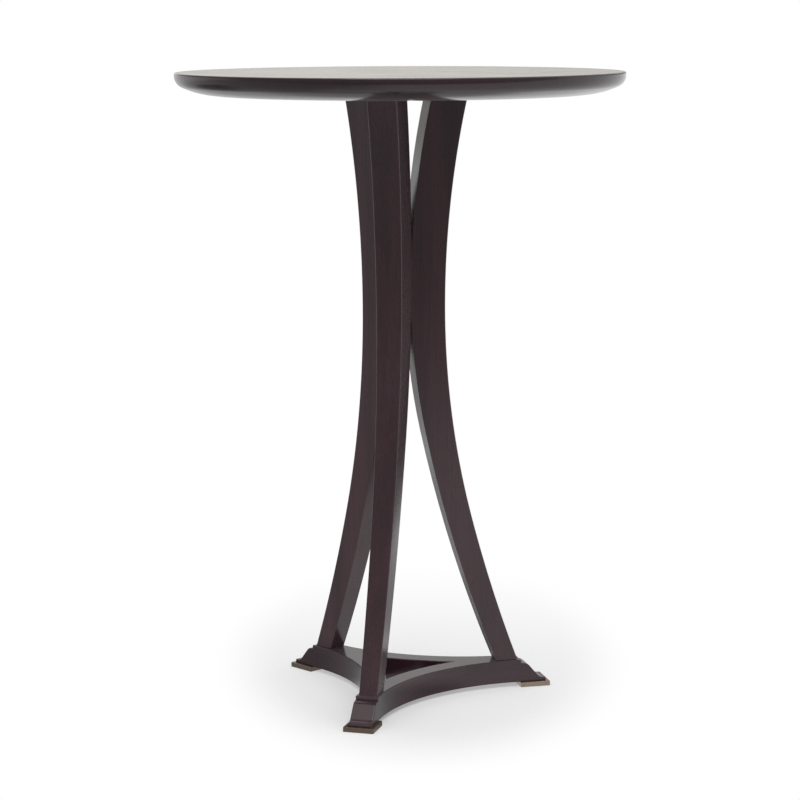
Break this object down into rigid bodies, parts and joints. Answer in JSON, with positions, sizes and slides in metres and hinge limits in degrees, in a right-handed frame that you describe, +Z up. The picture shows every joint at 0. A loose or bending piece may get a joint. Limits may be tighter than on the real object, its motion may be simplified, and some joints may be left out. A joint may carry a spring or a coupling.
{
  "type": "side table",
  "caption": "Round side table with a thin swept-under edge, curved legs that touch at the waist and spread above and below it, and a hollow-sided base on brass foot pads.",
  "frame": {"origin": "on the floor, under the middle of the round top", "axes": "+Z up; one leg points to -Y, the other two to the rear right and the rear left; +X to the right of that front leg"},
  "size_m": [0.457, 0.457, 0.648],
  "materials": {
    "lacquered_wood": "dark stain under satin lacquer",
    "core_board": "plain board",
    "plain_hardwood": "unfinished",
    "plated_steel": "zinc plated",
    "antique_brass": "aged, satin"
  },
  "bodies": {
    "root": {"top_core": "core_board", "top_veneer": "lacquered_wood", "underside_veneer": "lacquered_wood", "top_edging_1": "lacquered_wood", "top_edging_2": "lacquered_wood", "top_edging_3": "lacquered_wood", "top_edging_4": "lacquered_wood", "top_edging_5": "lacquered_wood", "top_edging_6": "lacquered_wood", "mounting_plate": "plated_steel", "plate_top_screws": "plated_steel", "plate_leg_screws": "plated_steel", "leg_front": "lacquered_wood", "leg_right": "lacquered_wood", "leg_left": "lacquered_wood", "waist_block": "lacquered_wood", "waist_dowels": "plain_hardwood", "foot_front": "lacquered_wood", "foot_right": "lacquered_wood", "foot_left": "lacquered_wood", "base_rail_right": "lacquered_wood", "base_rail_rear": "lacquered_wood", "base_rail_left": "lacquered_wood", "rail_dowels": "plain_hardwood", "leg_dowels": "plain_hardwood", "foot_pad_front": "antique_brass", "foot_pad_right": "antique_brass", "foot_pad_left": "antique_brass", "foot_pad_screws": "antique_brass"}
  },
  "joints": []
}
